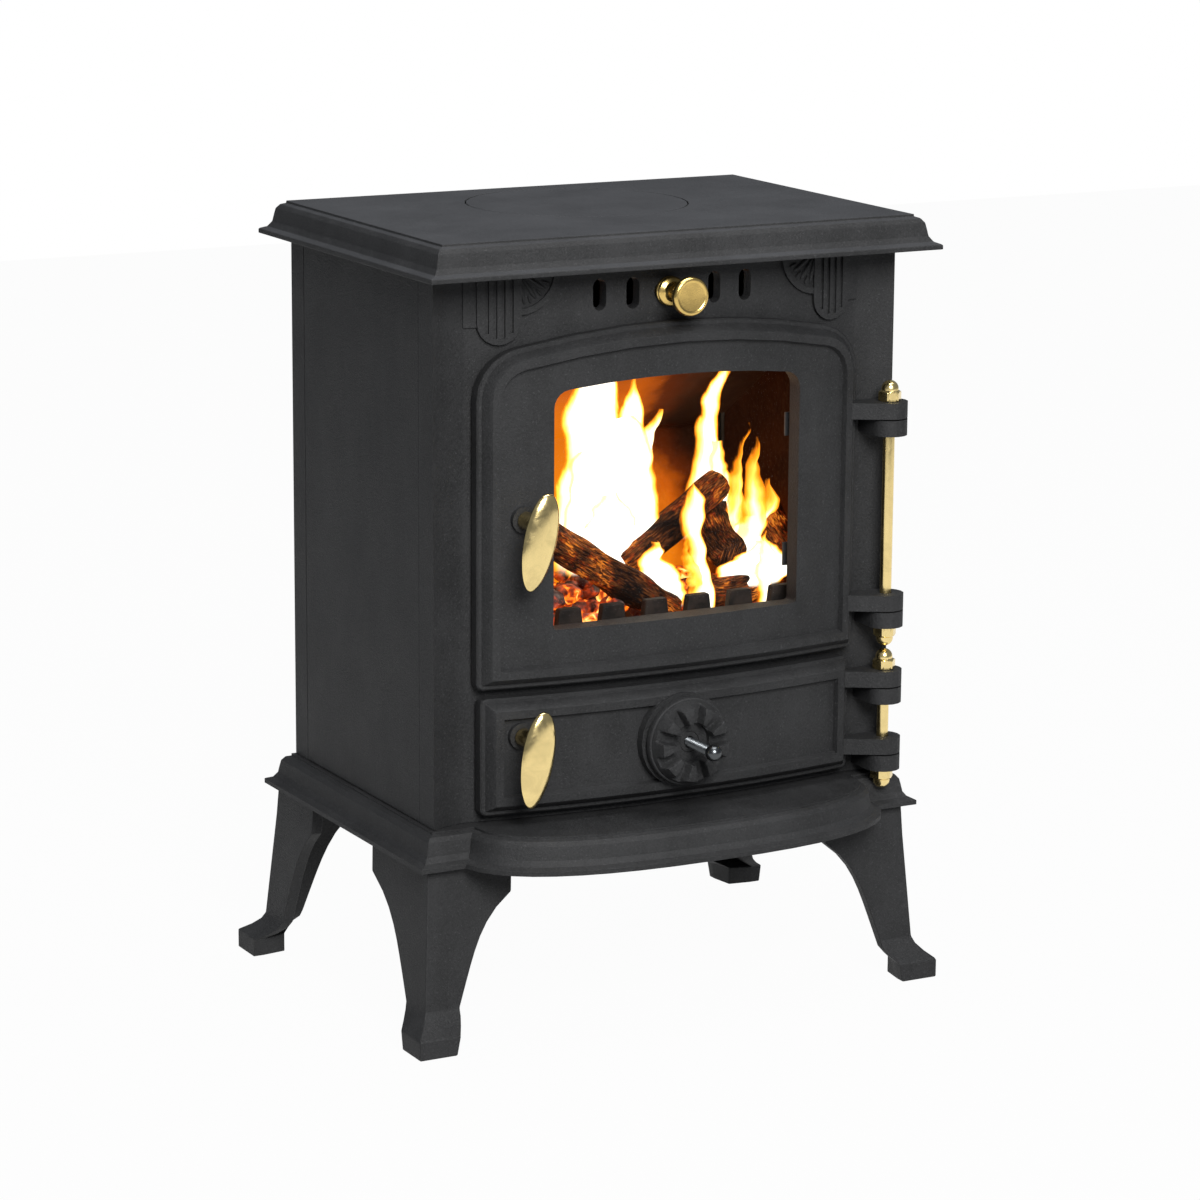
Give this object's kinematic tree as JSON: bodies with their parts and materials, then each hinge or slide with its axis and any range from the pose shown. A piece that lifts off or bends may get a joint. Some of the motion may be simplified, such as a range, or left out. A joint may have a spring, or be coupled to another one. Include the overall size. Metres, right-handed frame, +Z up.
{
  "type": "multi-fuel stove",
  "caption": "Small cast-iron multi-fuel stove with a glazed fire door, an ash door with a spin-wheel air control, a sliding top air vent, a lift-off hotplate and cabriole legs.",
  "frame": {"origin": "on the floor, under the middle of the stove's bounding box", "axes": "+Z up, the doors face -Y, +X towards the hinges"},
  "size_m": [0.4138, 0.3394, 0.535],
  "materials": {
    "cast_iron": "matt black stove paint on fine-grained casting",
    "bare_iron": "bare casting",
    "brass": "polished",
    "zinc_steel": "bright zinc plating",
    "glass": "clear ceramic glass",
    "vermiculite": "pressed board",
    "rope": "glass-fibre rope",
    "sheet_steel": "black"
  },
  "bodies": {
    "stove": {"top_plate": "cast_iron", "front_casting": "cast_iron", "side_panel_left": "cast_iron", "side_panel_right": "cast_iron", "back_panel": "cast_iron", "base_plate": "cast_iron", "flue_spigot": "cast_iron", "spigot_bolt_1": "zinc_steel", "spigot_bolt_2": "zinc_steel", "spigot_bolt_3": "zinc_steel", "leg_front_left": "cast_iron", "leg_front_right": "cast_iron", "leg_back_left": "cast_iron", "leg_back_right": "cast_iron", "leg_bolt_1": "zinc_steel", "leg_bolt_2": "zinc_steel", "leg_bolt_3": "zinc_steel", "leg_bolt_4": "zinc_steel", "tie_rod_1": "zinc_steel", "tie_rod_2": "zinc_steel", "tie_rod_3": "zinc_steel", "tie_rod_4": "zinc_steel", "grate": "bare_iron", "log_guard": "bare_iron", "liner_left": "vermiculite", "liner_right": "vermiculite", "liner_rear": "vermiculite", "baffle_plate": "bare_iron", "ash_pan": "sheet_steel", "fire_hinge_rod": "brass", "fire_hinge_nut_top": "brass", "fire_hinge_nut_bottom": "brass", "ash_hinge_rod": "brass", "ash_hinge_nut_top": "brass", "ash_hinge_nut_bottom": "brass"},
    "hotplate": {"hotplate_disc": "cast_iron"},
    "air_slider": {"air_slider_plate": "sheet_steel", "air_slider_knob": "brass"},
    "fire_door": {"fire_door": "cast_iron", "fire_door_seal": "rope", "door_glass": "glass", "glass_clip_1": "zinc_steel", "glass_clip_2": "zinc_steel", "glass_clip_3": "zinc_steel", "glass_clip_4": "zinc_steel"},
    "fire_handle": {"fire_door_handle": "brass", "fire_latch_cam": "zinc_steel", "fire_latch_nut": "zinc_steel"},
    "ash_door": {"ash_door": "cast_iron", "ash_door_seal": "rope", "air_stud": "zinc_steel", "stud_ball_nut": "zinc_steel", "stud_lock_nut": "zinc_steel"},
    "ash_handle": {"ash_door_handle": "brass", "ash_latch_cam": "zinc_steel", "ash_latch_nut": "zinc_steel"},
    "air_bush": {"air_bush": "zinc_steel"},
    "air_wheel": {"air_wheel": "cast_iron"}
  },
  "joints": [
    {"name": "hotplate_lift", "type": "slide", "parent": "stove", "child": "hotplate", "axis": [0, 0, 1], "range_m": [0, 0.06]},
    {"name": "air_slider_slide", "type": "slide", "parent": "stove", "child": "air_slider", "axis": [1, 0, 0], "range_m": [-0.006, 0.015]},
    {"name": "fire_door_hinge", "type": "hinge", "parent": "stove", "child": "fire_door", "pos_m": [0.1635, -0.10795, 0.3305], "axis": [0, 0, 1], "range_deg": [0, 110]},
    {"name": "fire_handle_turn", "type": "hinge", "parent": "fire_door", "child": "fire_handle", "pos_m": [-0.1135, -0.10506, 0.3505], "axis": [0, 1, 0], "range_deg": [0, 75]},
    {"name": "ash_door_hinge", "type": "hinge", "parent": "stove", "child": "ash_door", "pos_m": [0.1635, -0.10795, 0.18675], "axis": [0, 0, 1], "range_deg": [0, 110]},
    {"name": "ash_handle_turn", "type": "hinge", "parent": "ash_door", "child": "ash_handle", "pos_m": [-0.115, -0.10484, 0.2055], "axis": [0, 1, 0], "range_deg": [0, 75]},
    {"name": "air_bush_travel", "type": "slide", "parent": "ash_door", "child": "air_bush", "axis": [0, -1, 0], "range_m": [-0.0027, 0.0081]},
    {"name": "air_wheel_spin", "type": "hinge", "parent": "air_bush", "child": "air_wheel", "pos_m": [0, -0.12265, 0.193], "axis": [0, -1, 0], "range_deg": [-640, 1920]}
  ],
  "couplings": [
    {"joint": "air_bush_travel", "follows": "air_wheel_spin", "m_per_rad": 0.00023873}
  ]
}
